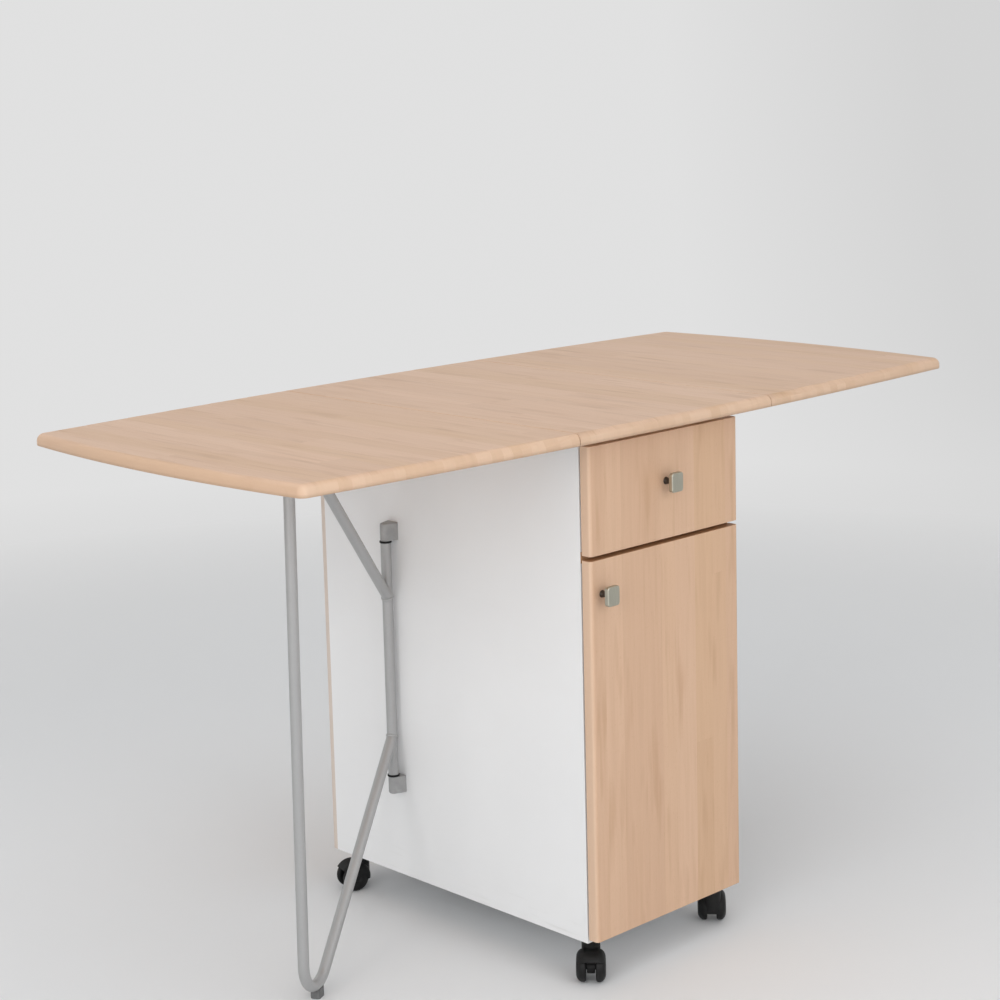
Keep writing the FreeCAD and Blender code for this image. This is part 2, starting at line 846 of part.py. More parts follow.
def castor_hood():
    """The swivelling body: domed hood over the wheels, web between them, axle ends and the neck."""
    full = wheel_spacing + 2 * wheel_width
    web = wheel_spacing - 2 * wheel_side_gap
    middle = Vector(castor_trail, 0, axle_height)
    neck = Part.makeCylinder(neck_radius, hood_top - axle_height, Vector(0, 0, axle_height))
    hood = barrel(hood_gap + hood_wall, 0, hood_front_angle, hood_rear_angle).fuse(neck)
    hood = hood.cut(barrel(hood_gap, cut_overrun, 0, 360))
    spine = barrel(hood_gap + hood_wall / 2, 0, hood_front_angle, hood_rear_angle)
    spine = spine.common(block(-full, 2 * full, -web / 2, web / 2, 0, hood_top))
    hub = Part.makeCylinder(axle_hub_radius, web, middle - Vector(0, web / 2, 0), along_y)
    axle_length = full - 2 * wheel_dish_depth - 2 * axle_end_inset
    axle = Part.makeCylinder(axle_radius, axle_length, middle - Vector(0, axle_length / 2, 0), along_y)
    hood = hood.fuse([spine, hub, axle])
    bore_depth = swivel_pin_length - swivel_gap + swivel_pin_end_gap
    bore_radius = swivel_pin_radius + running_clearance
    bore = Part.makeCylinder(bore_radius, bore_depth + cut_overrun, Vector(0, 0, hood_top - bore_depth))
    return max(hood.cut(bore).Solids, key=lambda solid: solid.Volume)


def castor_plate():
    """The round plate under the cabinet floor with the swivel pin."""
    low = cabinet_bottom - castor_plate_thickness
    plate = Part.makeCylinder(castor_plate_radius, castor_plate_thickness, Vector(0, 0, low))
    pin = Part.makeCylinder(swivel_pin_radius, swivel_pin_length, Vector(0, 0, low - swivel_pin_length))
    return plate.fuse(pin)


def make_castors():
    """Four castors, each turned as it happened to stand."""
    side = half_width - castor_side_inset
    end = cabinet_depth / 2 - castor_end_inset
    places = {
        "front_left": (-side, -end, front_left_swivel),
        "front_right": (side, -end, front_right_swivel),
        "rear_left": (-side, end, rear_left_swivel),
        "rear_right": (side, end, rear_right_swivel),
    }
    wheel = castor_wheel()
    pieces = {
        "castor_plate": castor_plate(),
        "castor_hood": castor_hood(),
        "castor_left_wheel": wheel.mirror(origin, along_y),
        "castor_right_wheel": wheel,
    }
    for corner, (x, y, swivel) in places.items():
        for name, shape in pieces.items():
            placed = shape.copy()
            placed.rotate(origin, up, swivel)
            placed.translate(Vector(x, y, 0))
            save(corner + "_" + name, placed)


make_top()
make_cabinet()
make_drawer()
make_leaf_hinges()
make_door()
make_legs()
make_castors()
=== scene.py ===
import json
import math

import bmesh
import bpy
from mathutils import Matrix, Vector

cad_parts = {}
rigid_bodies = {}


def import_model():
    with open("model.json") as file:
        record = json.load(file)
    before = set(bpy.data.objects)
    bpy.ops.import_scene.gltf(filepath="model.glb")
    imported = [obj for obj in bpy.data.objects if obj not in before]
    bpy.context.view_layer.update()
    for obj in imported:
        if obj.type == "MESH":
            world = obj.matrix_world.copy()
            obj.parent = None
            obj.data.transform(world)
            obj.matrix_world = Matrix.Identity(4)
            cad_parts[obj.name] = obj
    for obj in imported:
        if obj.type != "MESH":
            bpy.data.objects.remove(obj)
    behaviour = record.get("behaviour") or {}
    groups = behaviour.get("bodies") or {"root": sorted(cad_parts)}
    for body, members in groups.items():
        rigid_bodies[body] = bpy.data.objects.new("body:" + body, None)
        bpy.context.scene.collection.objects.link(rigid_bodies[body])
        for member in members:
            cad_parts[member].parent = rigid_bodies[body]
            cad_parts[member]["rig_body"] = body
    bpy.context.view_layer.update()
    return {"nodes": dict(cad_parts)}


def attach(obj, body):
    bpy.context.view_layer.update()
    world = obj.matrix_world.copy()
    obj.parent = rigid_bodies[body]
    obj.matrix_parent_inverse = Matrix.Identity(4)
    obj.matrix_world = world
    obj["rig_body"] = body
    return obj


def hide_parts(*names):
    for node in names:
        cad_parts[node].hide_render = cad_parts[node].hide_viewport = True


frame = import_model()


# Cabinet boards
# Chipboard with a white melamine skin, 16 mm thick, edges banded in white. The front rail shows in the
# gap over the drawer; its front edge is painted beech-brown to stand in for the shade in that gap.
# Dowels and cam locks hold the boards together.

# Clouds and grains are repeats per metre, and depths are metres. Ranges and marks say where a mix
# starts and where it is full; two more numbers are its strength at either end.
white_light = (0.838, 0.842, 0.845, 1.0)
white_deep = (0.818, 0.822, 0.825, 1.0)
white_scuff = (0.66, 0.655, 0.645, 1.0)
white_rough = (0.32, 0.46)
white_clouds = 5.0
white_gloss_clouds = 25.0
pearl_grain = 1400.0
pearl_depth = 0.00003
scuff_grain = (40.0, 12.0, 160.0)
scuff_marks = (0.60, 0.74)
scuff_strength = 0.45
scuff_reach = 0.053
# Painted shade: the beech-brown that the front rail's edge takes in the gap over the drawer.
rail_shade_beech = (0.58, 0.40, 0.26, 1.0)
facing_front = (-0.95, -0.85)
cloud_range = (0.35, 0.65)
gloss_range = (0.2, 0.8)
board_edge_round = 0.0006
white_boards = ["left_side_panel", "right_side_panel", "floor_panel"]
white_boards += ["divider_panel", "rear_top_rail", "shelf"]
merge_distance = 1e-6
flat_angle = math.radians(0.2)
sharp_angle = math.radians(35)


def box(node):
    """The lowest and the highest corner of a solid, as the frame places it."""
    corners = frame["nodes"][node].bound_box
    return Vector(corners[0]), Vector(corners[6])


def finish(name, metallic=0.0):
    """A new material: its node tree and its shader, ready for more nodes."""
    material = bpy.data.materials.new(name)
    material.use_nodes = True
    tree = material.node_tree
    shader = tree.nodes["Principled BSDF"]
    shader.inputs["Metallic"].default_value = metallic
    return material, tree, shader


def put(tree, kind, inputs=(), **settings):
    """Adds a node; an input given as a socket is linked, any other is set."""
    made = tree.nodes.new(kind)
    for name, value in settings.items():
        setattr(made, name, value)
    for name, value in dict(inputs).items():
        if isinstance(value, bpy.types.NodeSocket):
            tree.links.new(value, made.inputs[name])
        else:
            made.inputs[name].default_value = value
    return made


def sum_up(tree, operation, first, second=0.0):
    """One arithmetic step between sockets or numbers."""
    return put(tree, "ShaderNodeMath", {0: first, 1: second}, operation=operation).outputs[0]


def own(tree, kind="Object"):
    """The piece's own X, Y and Z: its place in metres, or the way that its surface faces."""
    return put(tree, "ShaderNodeSeparateXYZ", {0: put(tree, "ShaderNodeTexCoord").outputs[kind]}).outputs


def noise(tree, scale, detail=3.0):
    """Cloudy variation; scale is repeats per metre, or a triple where it is drawn out one way."""
    spread = scale if isinstance(scale, tuple) else (scale, scale, scale)
    place = put(tree, "ShaderNodeTexCoord").outputs["Object"]
    where = put(tree, "ShaderNodeMapping", {"Vector": place, "Scale": spread}).outputs["Vector"]
    return put(tree, "ShaderNodeTexNoise", {"Vector": where, "Scale": 1.0, "Detail": detail}).outputs["Fac"]


def span(tree, value, low, high, first=0.0, last=1.0):
    """A value that goes from first to last while another passes from low to high."""
    inputs = {"Value": value, "From Min": low, "From Max": high, "To Min": first, "To Max": last}
    return put(tree, "ShaderNodeMapRange", inputs).outputs["Result"]


def blend(tree, factor, first, second):
    """Two colours mixed by a factor."""
    return put(tree, "ShaderNodeMix", {0: factor, 6: first, 7: second}, data_type="RGBA").outputs[2]


def coat(tree, shader, colour, pattern, roughness, within=gloss_range):
    """Gives the surface its colour, and a roughness that follows a pattern from one value to another."""
    tree.links.new(colour, shader.inputs["Base Color"])
    tree.links.new(span(tree, pattern, *within, *roughness), shader.inputs["Roughness"])


def relief(tree, shader, height, depth):
    """Fine relief on the surface, as deep as asked in metres."""
    bump = put(tree, "ShaderNodeBump", {"Height": height, "Distance": depth, "Strength": 1.0})
    tree.links.new(bump.outputs["Normal"], shader.inputs["Normal"])


def white_melamine(name, front_edge):
    """White skin with a fine pearl texture, faint clouds and scuffs low down, and a given colour on the
    front edge, which on the front rail is painted shade."""
    material, tree, shader = finish(name)
    colour = blend(tree, span(tree, noise(tree, white_clouds), *cloud_range), white_deep, white_light)
    low = span(tree, own(tree)["Z"], scuff_foot, scuff_foot + scuff_reach, scuff_strength, 0.0)
    marks = span(tree, noise(tree, scuff_grain, detail=6.0), *scuff_marks)
    colour = blend(tree, sum_up(tree, "MULTIPLY", marks, low), colour, white_scuff)
    front = span(tree, own(tree, "Normal")["Y"], *facing_front, 1.0, 0.0)
    colour = blend(tree, front, colour, front_edge)
    coat(tree, shader, colour, noise(tree, white_gloss_clouds), white_rough)
    relief(tree, shader, noise(tree, pearl_grain, detail=2.0), pearl_depth)
    return material


def softened(node, width, material):
    """A copy of a solid with its sharp edges eased, as a worked or moulded edge is, in its place."""
    source = frame["nodes"][node]
    shape = bmesh.new()
    shape.from_mesh(source.data)
    bmesh.ops.remove_doubles(shape, verts=shape.verts, dist=merge_distance)
    bmesh.ops.dissolve_limit(shape, angle_limit=flat_angle, verts=shape.verts, edges=shape.edges)
    mesh = bpy.data.meshes.new(node + "_eased")
    shape.to_mesh(mesh)
    shape.free()
    mesh.shade_smooth()
    piece = bpy.data.objects.new(node + "_eased", mesh)
    bpy.context.scene.collection.objects.link(piece)
    easing = piece.modifiers.new("easing", "BEVEL")
    easing.width = width
    easing.segments = 2
    easing.limit_method = "ANGLE"
    easing.angle_limit = sharp_angle
    weights = piece.modifiers.new("weights", "WEIGHTED_NORMAL")
    weights.weight = 100
    plain = bpy.data.meshes.new_from_object(piece.evaluated_get(bpy.context.evaluated_depsgraph_get()))
    piece.modifiers.clear()
    piece.data = plain
    plain.materials.clear()
    plain.materials.append(material)
    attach(piece, source["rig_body"])
    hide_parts(node)
    return piece


def dress(node, material):
    """Gives a solid that keeps its own shape its finish."""
    frame["nodes"][node].material_slots[0].material = material


panel_low, panel_high = box("right_side_panel")
scuff_foot = panel_low.z
white = white_melamine("white_melamine", white_light)
for node in white_boards:
    softened(node, board_edge_round, white)
# The front rail's beech-brown front edge is painted shade for the gap over the drawer.
softened("front_top_rail", board_edge_round, white_melamine("shade_banded_melamine", rail_shade_beech))


# Painted shade behind the fronts' gap
# A thin brown strip across the front edges of the divider and both side panels: painted shade, so
# that the gap between drawer front and door shows as one dark brown line.

# Brown painted shade: the strip behind the fronts' gap and the fronts' level edges.
gap_shade_brown = (0.50, 0.275, 0.140, 1.0)
gap_shade_deep = (0.40, 0.210, 0.100, 1.0)
band_rough = (0.42, 0.58)
grain_range = (0.3, 0.7)
rib_grain = (900.0, 900.0, 20.0)
rib_depth = 0.00002
strip_thick = 0.0006
strip_margin = 0.0005
strip_round = 0.0002


def gap_shade_strip():
    """Brown painted shade for the gap behind the fronts, with a fine upright ribbing."""
    material, tree, shader = finish("gap_shade_edging")
    ribs = noise(tree, rib_grain, detail=2.0)
    colour = blend(tree, span(tree, ribs, *grain_range), gap_shade_brown, gap_shade_deep)
    coat(tree, shader, colour, ribs, band_rough)
    relief(tree, shader, ribs, rib_depth)
    return material


def slab(name, low, high, round_edge, material):
    """A flat piece between two corners with its edges eased."""
    shape = bmesh.new()
    bmesh.ops.create_cube(shape, size=1.0)
    for vert in shape.verts:
        vert.co = [a + (b - a) * (share + 0.5) for a, b, share in zip(low, high, vert.co)]
    bmesh.ops.bevel(shape, geom=shape.edges, offset=round_edge, segments=2, profile=0.5, affect="EDGES")
    mesh = bpy.data.meshes.new(name)
    shape.to_mesh(mesh)
    shape.free()
    mesh.materials.append(material)
    piece = bpy.data.objects.new(name, mesh)
    bpy.context.scene.collection.objects.link(piece)
    return piece


divider_low, divider_high = box("divider_panel")
strip_half = panel_high.x - strip_margin
strip_face = divider_low.y - strip_thick
strip_low = (-strip_half, strip_face, divider_low.z + strip_margin)
strip_high = (strip_half, divider_low.y, divider_high.z - strip_margin)
strip = slab("divider_strip", strip_low, strip_high, strip_round, gap_shade_strip())
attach(strip, "cabinet")


# Cam locks and leg-bracket bolts
# Pressed zinc discs, turned with a cross driver, lock the divider and the floor to the side panels.
# Two cross-head bolts through each side panel hold each bracket of the gate leg.

zinc_light = (0.66, 0.67, 0.69, 1.0)
zinc_deep = (0.50, 0.51, 0.53, 1.0)
zinc_rough = (0.28, 0.46)
zinc_clouds = 90.0
zinc_patches = 260.0
zinc_grain = 1500.0
zinc_depth = 0.00001
cam_radius = 0.0075
cam_rise = 0.0006
cam_from_panel = 0.034
divider_cam_rows = (-0.190, 0.200)
floor_cam_rows = (-0.150, 0.150)
bolt_radius = 0.0042
bolt_rise = 0.0022
bolt_heights = (0.1897, 0.2037, 0.556, 0.566)
twist_seed = 7
down = (0.0, 0.0, -1.0)
sides = (-1.0, 1.0)


def middle(node):
    """The middle of a solid's box."""
    low, high = box(node)
    return (low + high) / 2


def cells(tree, repeats):
    """Cells side by side, so many to a metre: the distance from the middle of each."""
    place = put(tree, "ShaderNodeTexCoord").outputs["Object"]
    return put(tree, "ShaderNodeTexVoronoi", {"Vector": place, "Scale": repeats}).outputs["Distance"]


def zinc_plate():
    """Bright zinc on pressed steel, with the faint patches that plating leaves."""
    material, tree, shader = finish("zinc_plate", 1.0)
    patches = cells(tree, zinc_patches)
    colour = blend(tree, span(tree, noise(tree, zinc_clouds), *grain_range), zinc_deep, zinc_light)
    coat(tree, shader, colour, patches, zinc_rough, within=(0.0, 1.0))
    relief(tree, shader, noise(tree, zinc_grain), zinc_depth)
    return material


def cross_head():
    """The pattern of a cross-head: a low dome with a plus-shaped recess, one unit in radius."""
    around = 16
    outline = ((1.0, 0.0), (1.0, 0.40), (0.88, 0.80), (0.62, 1.0))
    arm = 0.46
    half_slot = 0.12
    recess_floor = 0.35
    plus = [(arm, half_slot), (half_slot, half_slot), (half_slot, arm)]
    shape = bmesh.new()
    turns = [2 * math.pi * step / around for step in range(around)]
    rings = []
    for radius, height in outline:
        rings.append([shape.verts.new((radius * math.cos(t), radius * math.sin(t), height)) for t in turns])
    for lower, upper in zip(rings, rings[1:]):
        for step in range(around):
            after = (step + 1) % around
            shape.faces.new((lower[step], lower[after], upper[after], upper[step]))
    shape.faces.new(reversed(rings[0]))
    corners = []
    for cos, sin in ((1, 0), (0, 1), (-1, 0), (0, -1)):
        corners += [(x * cos - y * sin, x * sin + y * cos) for x, y in plus]
    rim = [shape.verts.new((x, y, 1.0)) for x, y in corners]
    base = [shape.verts.new((x, y, recess_floor)) for x, y in corners]
    crown = [shape.edges.get((a, b)) for a, b in zip(rings[-1], rings[-1][1:] + rings[-1][:1])]
    mouth = [shape.edges.new((a, b)) for a, b in zip(rim, rim[1:] + rim[:1])]
    bmesh.ops.triangle_fill(shape, edges=crown + mouth, use_beauty=True, normal=(0, 0, 1))
    for corner in range(len(rim)):
        after = (corner + 1) % len(rim)
        shape.faces.new((rim[corner], rim[after], base[after], base[corner]))
    shape.faces.new(base)
    bmesh.ops.recalc_face_normals(shape, faces=shape.faces)
    mesh = bpy.data.meshes.new("cross_head")
    shape.to_mesh(mesh)
    shape.free()
    return bpy.data.objects.new("cross_head", mesh)


def setting_tree():
    """Node tree that sets a pattern at every point, turned to face out there, with a twist of its own."""
    tree = bpy.data.node_groups.new("setting", "GeometryNodeTree")
    kinds = {"Points": "Geometry", "Pattern": "Object", "Radius": "Float", "Rise": "Float"}
    kinds.update({"Seed": "Int", "Finish": "Material"})
    for name, kind in kinds.items():
        tree.interface.new_socket(name, in_out="INPUT", socket_type="NodeSocket" + kind)
    tree.interface.new_socket("Pieces", in_out="OUTPUT", socket_type="NodeSocketGeometry")
    given = tree.nodes.new("NodeGroupInput").outputs
    pattern = put(tree, "GeometryNodeObjectInfo", {"Object": given["Pattern"]}).outputs["Geometry"]
    named = put(tree, "GeometryNodeInputNamedAttribute", {"Name": "facing"}, data_type="FLOAT_VECTOR")
    facing = {"Vector": named.outputs["Attribute"]}
    upright = put(tree, "FunctionNodeAlignRotationToVector", facing, axis="Z")
    any_turn = {3: 2 * math.pi, "Seed": given["Seed"]}
    chance = put(tree, "FunctionNodeRandomValue", any_turn, data_type="FLOAT")
    spin = {"Axis": (0, 0, 1), "Angle": chance.outputs[1]}
    twist = put(tree, "FunctionNodeAxisAngleToRotation", spin)
    turns = {"Rotation": upright.outputs["Rotation"], "Rotate By": twist.outputs["Rotation"]}
    turned = put(tree, "FunctionNodeRotateRotation", turns, rotation_space="LOCAL")
    measures = {"X": given["Radius"], "Y": given["Radius"], "Z": given["Rise"]}
    size = put(tree, "ShaderNodeCombineXYZ", measures)
    spread = {"Points": given["Points"], "Instance": pattern, "Rotation": turned.outputs["Rotation"]}
    spread["Scale"] = size.outputs["Vector"]
    copies = put(tree, "GeometryNodeInstanceOnPoints", spread).outputs["Instances"]
    real = put(tree, "GeometryNodeRealizeInstances", {"Geometry": copies}).outputs["Geometry"]
    dressed = put(tree, "GeometryNodeSetMaterial", {"Geometry": real, "Material": given["Finish"]})
    put(tree, "NodeGroupOutput", {"Pieces": dressed.outputs["Geometry"]})
    return tree


def seated(name, body, material, pattern, spots, radius, rise):
    """Like pieces on one body: points with the way they face, grown by the node tree and made plain."""
    mesh = bpy.data.meshes.new(name)
    mesh.from_pydata([spot for spot, facing in spots], [], [])
    ways = mesh.attributes.new("facing", "FLOAT_VECTOR", "POINT")
    for entry, (spot, facing) in zip(ways.data, spots):
        entry.vector = facing
    piece = bpy.data.objects.new(name, mesh)
    bpy.context.scene.collection.objects.link(piece)
    grower = piece.modifiers.new("setting", "NODES")
    grower.node_group = setting
    given = {"Pattern": pattern, "Radius": radius, "Rise": rise, "Seed": twist_seed, "Finish": material}
    for socket in setting.interface.items_tree:
        if socket.name in given:
            grower[socket.identifier] = given[socket.name]
    plain = bpy.data.meshes.new_from_object(piece.evaluated_get(bpy.context.evaluated_depsgraph_get()))
    piece.modifiers.clear()
    piece.data = plain
    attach(piece, body)
    return piece


zinc = zinc_plate()
screw = cross_head()
setting = setting_tree()
floor_underside = box("floor_panel")[0].z
cam_line = panel_low.x - cam_from_panel
bracket_line = -middle("right_leg_lower_bracket").y
cams = [((x * cam_line, y, divider_low.z), down) for x in sides for y in divider_cam_rows]
cams += [((x * cam_line, y, floor_underside), down) for x in sides for y in floor_cam_rows]
seated("cam_locks", "cabinet", zinc, screw, cams, cam_radius, cam_rise)
bolts = [((x * panel_low.x, -x * bracket_line, z), (-x, 0.0, 0.0)) for x in sides for z in bolt_heights]
seated("bracket_bolts", "cabinet", zinc, screw, bolts, bolt_radius, bolt_rise)


# Three-part top
# 16 mm board with a beech butcher-block skin: narrow staves run across the table, and the rounded
# edge shows their ends. Two drop leaves meet the fixed middle at the seams.

top_pale = (0.728, 0.497, 0.352, 1.0)
top_deep = (0.635, 0.416, 0.280, 1.0)
top_end_pale = (0.715, 0.515, 0.372, 1.0)
top_end_deep = (0.635, 0.435, 0.295, 1.0)
top_stave_length = 0.45
top_streaks = 0.20
seam_edge_round = 0.0005
long_edge = (0.610, 0.412, 0.278, 1.0)
facing_along = (0.45, 0.85)
# Painted shade along the lower edge of the top's rim, where the rounding faces down.
rim_shade = (0.380, 0.245, 0.155, 1.0)
rim_shade_strength = 0.9
rim_shade_below = 0.0002
rim_shade_height = 0.0050
beech_streak = (0.470, 0.270, 0.148, 1.0)
beech_gold = (0.640, 0.415, 0.238, 1.0)
beech_rough = (0.36, 0.52)
stave_width = 0.036
stave_end_width = 0.019
stave_sway = 0.030
sway_repeats = 13.0
stave_shift = 40.0
broad_grain = (60.0, 2.4, 4.0)
fine_grain = (420.0, 9.0, 3.0)
dash_grain = (64.0, 6.5, 2.0)
fleck_grain = (1300.0, 170.0, 1.0)
broad_share = 0.5
gold_marks = (0.45, 1.0, 0.0, 0.45)
broad_marks = (0.54, 0.78)
fine_marks = (0.50, 0.80, 0.0, 0.14)
dash_marks = (0.56, 0.74, 0.0, 0.42)
fleck_marks = (0.66, 0.72, 0.0, 0.30)
grain_depth = 0.00004
facing_rim = (0.55, 0.97, 0.75, 0.0)
facing_level = (0.80, 0.95)
band_margin = 0.020


def lot(tree, number):
    """A share drawn by chance, the same wherever the number is the same."""
    return put(tree, "ShaderNodeTexWhiteNoise", {"W": number}, noise_dimensions="1D").outputs["Value"]


def beech(name, along, face, pale, deep, length, streak, end_pale, end_deep):
    """Glued beech staves of a length along one axis, on the faces across another, with streaks and
    with stave ends at the edges. A grain is repeats per metre across and along, and its detail."""
    material, tree, shader = finish(name)
    at = own(tree)
    normal = own(tree, "Normal")
    wander = {"W": at["X"], "Scale": sway_repeats, "Detail": 0.0}
    drift = put(tree, "ShaderNodeTexNoise", wander, noise_dimensions="1D").outputs["Fac"]
    swayed = sum_up(tree, "ADD", at["X"], sum_up(tree, "MULTIPLY", drift, stave_sway))
    stave = sum_up(tree, "FLOOR", sum_up(tree, "DIVIDE", swayed, stave_width))
    chance = lot(tree, stave)
    lengthwise = sum_up(tree, "ADD", sum_up(tree, "DIVIDE", at[along], length), chance)
    block = put(tree, "ShaderNodeCombineXYZ", {"X": stave, "Y": sum_up(tree, "FLOOR", lengthwise)})
    piece = {"Vector": block.outputs["Vector"]}
    tone = put(tree, "ShaderNodeTexWhiteNoise", piece, noise_dimensions="2D").outputs["Value"]

    def grain(across, lengthways, detail):
        """Noise drawn out along the staves, different in each."""
        where = {"X": sum_up(tree, "MULTIPLY", at["X"], across)}
        where["Y"] = sum_up(tree, "MULTIPLY", at[along], lengthways)
        where["Z"] = sum_up(tree, "MULTIPLY", tone, stave_shift)
        pattern = {"Vector": put(tree, "ShaderNodeCombineXYZ", where).outputs["Vector"]}
        pattern.update({"Scale": 1.0, "Detail": detail})
        return put(tree, "ShaderNodeTexNoise", pattern).outputs["Fac"]

    broad = grain(*broad_grain)
    fine = grain(*fine_grain)
    colour = blend(tree, tone, deep, pale)
    clouded = blend(tree, span(tree, broad, *grain_range), deep, pale)
    colour = blend(tree, broad_share, colour, clouded)
    colour = blend(tree, span(tree, chance, *gold_marks), colour, beech_gold)
    marks = [span(tree, broad, *broad_marks, 0.0, streak), span(tree, fine, *fine_marks)]
    marks.append(span(tree, grain(*dash_grain), *dash_marks))
    marks.append(span(tree, grain(*fleck_grain), *fleck_marks))
    for strength in marks:
        colour = blend(tree, strength, colour, beech_streak)
    end_block = sum_up(tree, "FLOOR", sum_up(tree, "DIVIDE", swayed, stave_end_width))
    end_tone = lot(tree, end_block)
    rim = span(tree, sum_up(tree, "ABSOLUTE", normal[face]), *facing_rim)
    edge = blend(tree, end_tone, end_deep, end_pale)
    if face == "Z":
        sideways = sum_up(tree, "ABSOLUTE", normal["X"])
        edge = blend(tree, span(tree, sideways, *facing_along), edge, long_edge)
        # Painted shade: a darker line along the foot of the rim, just above the underside.
        rim_shade_foot = underside - rim_shade_below
        foot = span(tree, at["Z"], rim_shade_foot, underside + rim_shade_height, rim_shade_strength, 0.0)
        colour = blend(tree, rim, colour, edge)
        colour = blend(tree, sum_up(tree, "MULTIPLY", rim, foot), colour, rim_shade)
    else:
        # Painted shade: the fronts' level edges below the drawer's top turn brown, so the gap reads dark.
        level_edge_shade = span(tree, sum_up(tree, "ABSOLUTE", normal["Z"]), *facing_level)
        low, high = box("drawer_front")
        below_top = span(tree, at["Z"], low.z + band_margin, high.z - band_margin, 1.0, 0.0)
        colour = blend(tree, rim, colour, edge)
        colour = blend(tree, sum_up(tree, "MULTIPLY", level_edge_shade, below_top), colour, gap_shade_brown)
    coat(tree, shader, colour, fine, beech_rough)
    relief(tree, shader, fine, grain_depth)
    return material


underside = box("middle_top")[0].z
top_look = (top_pale, top_deep, top_stave_length, top_streaks, top_end_pale, top_end_deep)
top_beech = beech("top_beech", "Y", "Z", *top_look)
for node in ("middle_top", "left_leaf", "right_leaf"):
    softened(node, seam_edge_round, top_beech)


# Leaf hinges
# Two stamped steel hinges under each seam carry a leaf: one plate is screwed to the middle and the
# other to the leaf, with three cross-head screws each.

hinge_plate_thick = 0.0016
hinge_half_length = 0.025
hinge_screw_radius = 0.0034
hinge_screw_rise = 0.0008
hinge_screw_spots = ((0.012, -0.017), (0.012, 0.017), (0.021, 0.0))

seam_line = (box("middle_top")[1].x + box("right_leaf")[0].x) / 2
hinge_plate_face = underside - hinge_plate_thick
hinge_row = box("right_leaf_hinge_plates")[1].y - hinge_half_length
for side, way in zip(("left", "right"), sides):
    dress(side + "_leaf_hinge_fixed_plates", zinc)
    dress(side + "_leaf_hinge_plates", zinc)
    for body, out in (("cabinet", -1.0), (side + "_drop_leaf", 1.0)):
        screws = []
        for end in sides:
            for reach, offset in hinge_screw_spots:
                across = way * (seam_line + out * reach)
                screws.append(((across, end * hinge_row + offset, hinge_plate_face), down))
        name = side + "_hinge_screws_" + body
        seated(name, body, zinc, screw, screws, hinge_screw_radius, hinge_screw_rise)


# Drawer front, door and back
# The same beech skin with the staves upright; the fronts' upright edges are rounded over, and their
# level edges, but for the drawer's top, carry painted brown shade for the gap between the fronts.
# The thin back has pale edges and is pinned on.

front_pale = (0.695, 0.466, 0.318, 1.0)
front_deep = (0.580, 0.366, 0.236, 1.0)
front_end_pale = (0.735, 0.530, 0.385, 1.0)
front_end_deep = (0.680, 0.470, 0.330, 1.0)
back_end_pale = (0.700, 0.655, 0.615, 1.0)
back_end_deep = (0.650, 0.590, 0.540, 1.0)
front_stave_length = 2.5
front_streaks = 0.40
pin_radius = 0.0026
pin_rise = 0.0007
pin_column_heights = (0.190, 0.320, 0.450, 0.600)
to_back = (0.0, 1.0, 0.0)

front_look = (front_pale, front_deep, front_stave_length, front_streaks)
front_beech = beech("front_beech", "Z", "Y", *front_look, front_end_pale, front_end_deep)
for node in ("drawer_front", "door_panel"):
    softened(node, board_edge_round, front_beech)
back_beech = beech("back_beech", "Z", "Y", *front_look, back_end_pale, back_end_deep)
softened("back_panel", board_edge_round, back_beech)
back_face = box("back_panel")[1].y
panel_line = (panel_low.x + panel_high.x) / 2
pin_rows = (middle("floor_panel").z, middle("rear_top_rail").z)
pins = [((x * panel_line, back_face, z), to_back) for x in sides for z in pin_column_heights]
pins += [((x * panel_line, back_face, z), to_back) for z in pin_rows for x in (-1.0, 0.0, 1.0)]
seated("back_pins", "cabinet", zinc, screw, pins, pin_radius, pin_rise)


# Knobs
# Small oblong plates on a waisted stem, cast in zinc and plated in brushed nickel; the stem is
# painted dark as shade, lying behind the plate. A bolt from inside the front holds each.

nickel_light = (0.56, 0.545, 0.46, 1.0)
nickel_deep = (0.44, 0.425, 0.355, 1.0)
nickel_rough = (0.38, 0.54)
brush_grain = (2600.0, 2600.0, 45.0)
brush_depth = 0.00002
# Painted shade on the stem behind the plate.
stem_shade = (0.085, 0.075, 0.065, 1.0)
stem_from_face = 0.0068
stem_fade = 0.0022
knob_bolt_radius = 0.0045
knob_bolt_rise = 0.0022


def brushed_nickel():
    """Plated metal with fine upright brush lines, and painted shade towards the stem."""
    material, tree, shader = finish("brushed_nickel", 1.0)
    lines = noise(tree, brush_grain)
    colour = blend(tree, span(tree, lines, *grain_range), nickel_deep, nickel_light)
    stem_start = box("drawer_knob")[0].y + stem_from_face
    stem = span(tree, own(tree)["Y"], stem_start, stem_start + stem_fade)
    coat(tree, shader, blend(tree, stem, colour, stem_shade), lines, nickel_rough)
    relief(tree, shader, lines, brush_depth)
    return material


nickel = brushed_nickel()
front_inside = box("door_panel")[1].y
for body in ("drawer", "door"):
    dress(body + "_knob", nickel)
    knob = middle(body + "_knob")
    bolt = [((knob.x, front_inside, knob.z), to_back)]
    seated(body + "_knob_bolt", body, zinc, screw, bolt, knob_bolt_radius, knob_bolt_rise)


# Drawer box and runners
# Sides and back of 12 mm board in white foil, a thin bottom in grooves and screws into the back;
# a folded steel rail on each side slides in a channel on the side panel.

foil_light = (0.74, 0.74, 0.73, 1.0)
foil_deep = (0.69, 0.69, 0.675, 1.0)
foil_rough = (0.52, 0.66)
foil_clouds = 9.0
weave_repeats = 700.0
weave_depth = 0.00002
drawer_edge_round = 0.0008
drawer_screw_heights = (0.612, 0.668)
drawer_screw_radius = 0.0036
drawer_screw_rise = 0.0010


